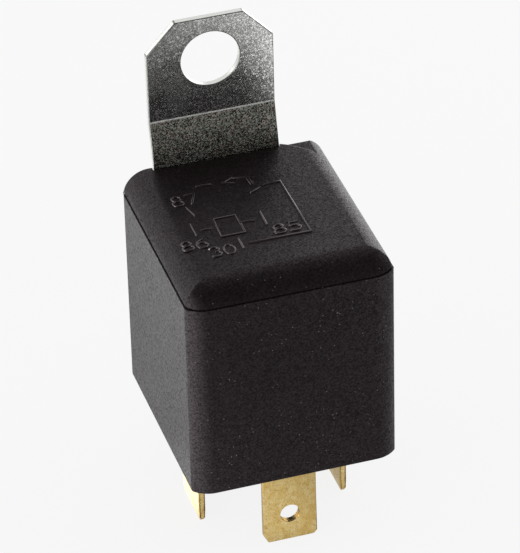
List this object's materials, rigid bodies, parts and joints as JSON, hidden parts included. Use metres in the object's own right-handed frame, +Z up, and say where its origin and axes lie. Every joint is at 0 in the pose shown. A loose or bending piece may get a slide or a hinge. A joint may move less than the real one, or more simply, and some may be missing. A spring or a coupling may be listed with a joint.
{
  "type": "automotive relay",
  "caption": "Plug-in automotive relay with flat blade terminals, a closed black plastic housing and a steel strip bracket with a bolt hole.",
  "frame": {"origin": "centre of the housing's lower rim, which seats on a socket", "axes": "+X to the right seen from the front, +Y back towards the bracket, +Z up; the blades point down"},
  "size_m": [0.0238, 0.027, 0.0559],
  "materials": {
    "housing_plastic": "fine-grained black moulding",
    "cap_plastic": "fine-grained black moulding",
    "bracket_steel": "mottled zinc plate",
    "base_plastic": "matt",
    "blade_brass": "satin, slightly mottled",
    "magnet_iron": "zinc plate",
    "bobbin_plastic": "natural",
    "coil_wire": "enamelled copper",
    "leaf_bronze": "rolled",
    "rivet_steel": "bright",
    "contact_silver": "satin silver",
    "spring_steel": "drawn wire",
    "braid_copper": "woven copper"
  },
  "bodies": {
    "housing": {"cover_sleeve": "housing_plastic", "cover_cap": "cap_plastic", "mounting_bracket": "bracket_steel", "base": "base_plastic", "blade_87": "blade_brass", "blade_86": "blade_brass", "blade_85": "blade_brass", "blade_30": "blade_brass", "yoke": "magnet_iron", "core": "magnet_iron", "bobbin": "bobbin_plastic", "winding": "coil_wire", "coil_lead_86": "coil_wire", "coil_lead_85": "coil_wire", "fixed_contact": "contact_silver", "return_spring": "spring_steel", "base_rivets": "rivet_steel"},
    "armature_assembly": {"armature": "magnet_iron", "contact_leaf": "leaf_bronze", "leaf_rivets": "rivet_steel", "moving_contact": "contact_silver", "flexible_braid": "braid_copper"}
  },
  "joints": [
    {"name": "armature_hinge", "type": "hinge", "parent": "housing", "child": "armature_assembly", "pos_m": [0, 0.0086, 0.02], "axis": [1, 0, 0], "range_deg": [0, 3.5], "stiffness_Nm_per_rad": 0.05, "springref_deg": -5.73}
  ]
}
